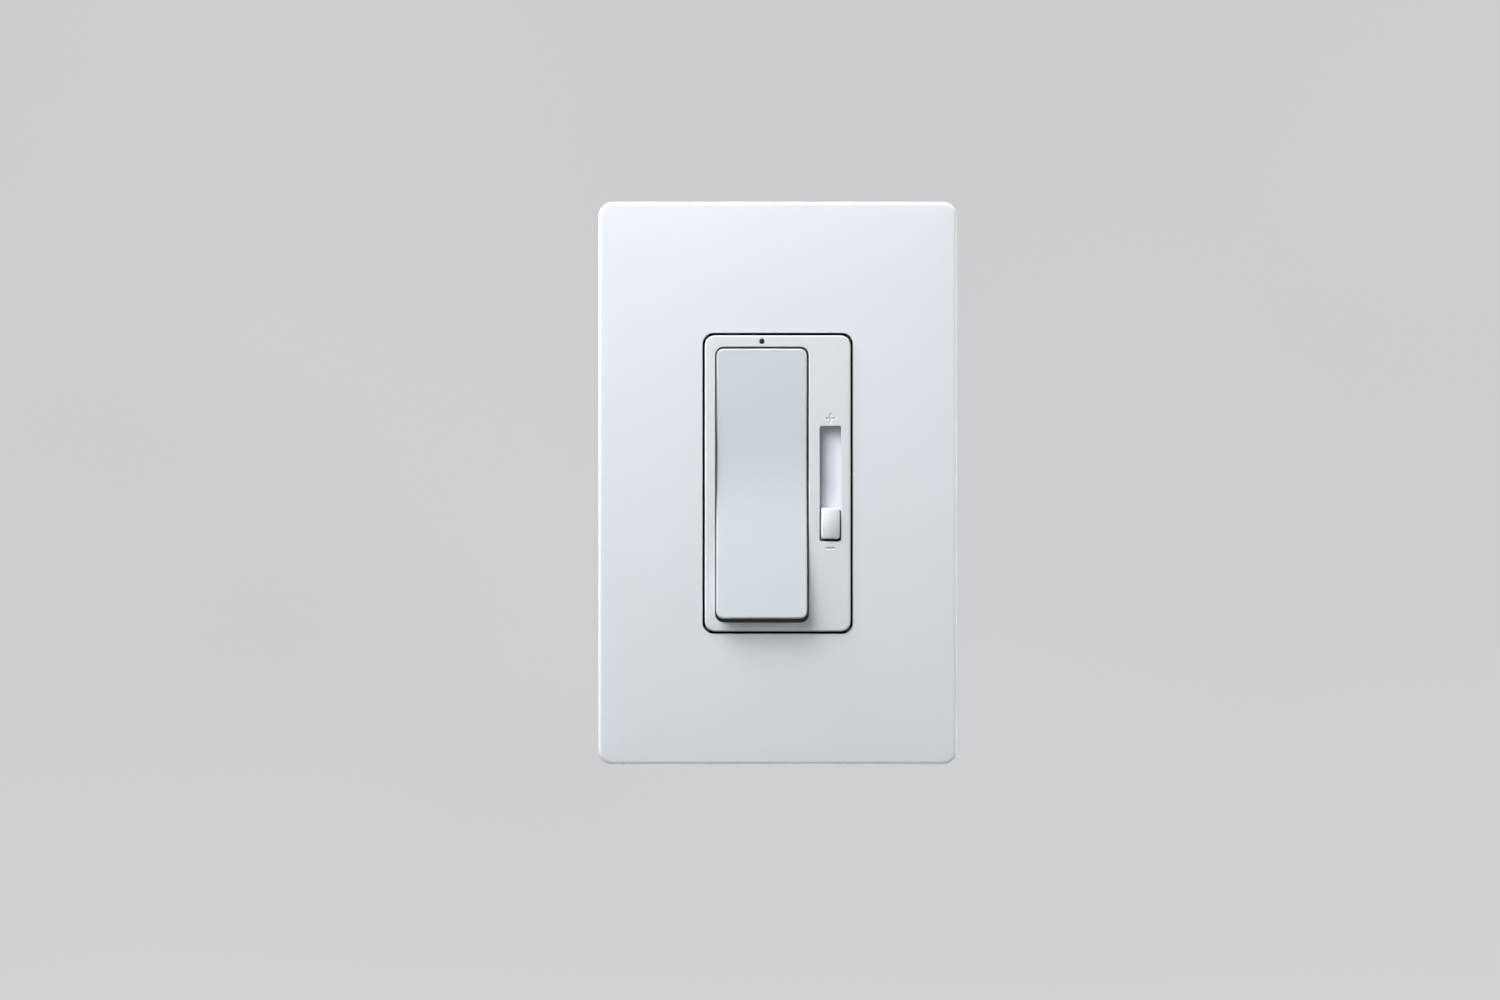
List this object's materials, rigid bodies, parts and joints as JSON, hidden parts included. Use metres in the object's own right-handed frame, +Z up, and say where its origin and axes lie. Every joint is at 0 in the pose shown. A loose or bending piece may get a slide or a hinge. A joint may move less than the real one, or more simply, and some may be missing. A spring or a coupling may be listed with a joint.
{
  "type": "dimmer slide switch",
  "caption": "Wall-mounted dimmer: a concave rocker paddle with a slide control beside it, in a screwless plate over a heat-sink yoke and a closed rear housing with screw terminals.",
  "frame": {"origin": "centre of the wall plate, on the wall surface that the plate's back rim rests on", "axes": "+X to the right as seen from the room, +Y into the wall, towards the rear housing, +Z up; the front faces -Y"},
  "size_m": [0.0796, 0.0429, 0.125],
  "materials": {
    "plate_white": "satin cool white moulded plastic",
    "subplate_white": "matt white moulded plastic",
    "bezel_white": "satin cool white moulded plastic",
    "paddle_white": "satin cool white moulded plastic",
    "knob_white": "satin cool white moulded plastic",
    "shutter_white": "matt cool white moulded plastic",
    "steel": "zinc-plated steel",
    "aluminium": "stamped satin aluminium",
    "fibre": "pressed fibre washer",
    "green_steel": "green-passivated steel",
    "clamp_metal": "yellow-zinc plated steel",
    "brass": "brass",
    "black_screw": "black-oxide steel",
    "copper_alloy": "phosphor bronze spring strip",
    "silver": "silver alloy contact",
    "housing_black": "matt black moulded thermoset",
    "base_black": "matt dark moulded base",
    "natural_plastic": "natural acetal",
    "dark_plastic": "black acetal",
    "light_pipe": "smoke-tinted clear acrylic, unlit",
    "led": "LED package",
    "board_green": "green solder mask",
    "track_brown": "phenolic board",
    "ferrite": "coated iron-powder core",
    "enamel_copper": "enamelled copper wire",
    "cap_red": "epoxy-dipped film capacitor",
    "cap_yellow": "film capacitor case",
    "cap_can": "sleeved aluminium can",
    "disc_blue": "epoxy-coated disc",
    "resistor_tan": "ceramic resistor coat",
    "chip_black": "moulded epoxy package",
    "insulator_grey": "thermal pad"
  },
  "bodies": {
    "fixed": {"wall_plate_cover": "plate_white", "subplate": "subplate_white", "subplate_screw_top": "steel", "subplate_screw_bottom": "steel", "yoke": "aluminium", "box_screw_top": "steel", "box_screw_bottom": "steel", "screw_retainer_top": "fibre", "screw_retainer_bottom": "fibre", "ground_screw": "green_steel", "ground_clamp": "clamp_metal", "bezel": "bezel_white", "locator_light_pipe": "light_pipe", "locator_led": "led", "rear_housing": "housing_black", "housing_screw_1": "steel", "housing_screw_2": "steel", "housing_screw_3": "steel", "housing_screw_4": "steel", "circuit_board": "board_green", "triac": "chip_black", "triac_insulator": "insulator_grey", "triac_screw": "steel", "choke_core": "ferrite", "choke_winding": "enamel_copper", "film_capacitor": "cap_red", "small_capacitor": "cap_yellow", "electrolytic_capacitor": "cap_can", "varistor": "disc_blue", "control_ic": "chip_black", "fuse_resistor": "resistor_tan", "pot_case": "steel", "pot_track": "track_brown", "switch_base": "base_black", "fulcrum_bracket": "brass", "upper_contact": "brass", "lower_contact": "brass", "terminal_plate_common": "brass", "terminal_clamp_common": "clamp_metal", "terminal_screw_common": "black_screw", "terminal_plate_traveller_upper": "brass", "terminal_clamp_traveller_upper": "clamp_metal", "terminal_screw_traveller_upper": "brass", "terminal_plate_traveller_lower": "brass", "terminal_clamp_traveller_lower": "clamp_metal", "terminal_screw_traveller_lower": "brass"},
    "rocker": {"rocker_paddle": "paddle_white", "plunger": "natural_plastic", "plunger_spring": "steel"},
    "contact_arm": {"contact_blade": "copper_alloy", "contact_rivet_upper": "silver", "contact_rivet_lower": "silver"},
    "slider": {"slider_knob": "knob_white", "slider_carrier": "shutter_white", "pot_lever": "natural_plastic", "pot_wiper": "dark_plastic"}
  },
  "joints": [
    {"name": "rocker_hinge", "type": "hinge", "parent": "fixed", "child": "rocker", "pos_m": [-0.0035, -0.0034, 0], "axis": [1, 0, 0], "range_deg": [0, 5.2]},
    {"name": "contact_hinge", "type": "hinge", "parent": "fixed", "child": "contact_arm", "pos_m": [-0.0035, 0.0086, 0], "axis": [1, 0, 0], "range_deg": [-7.8, 0]},
    {"name": "slider_slide", "type": "slide", "parent": "fixed", "child": "slider", "axis": [0, 0, 1], "range_m": [0, 0.0175]}
  ],
  "couplings": [
    {"joint": "contact_hinge", "follows": "rocker_hinge", "ratio": -1.5}
  ]
}
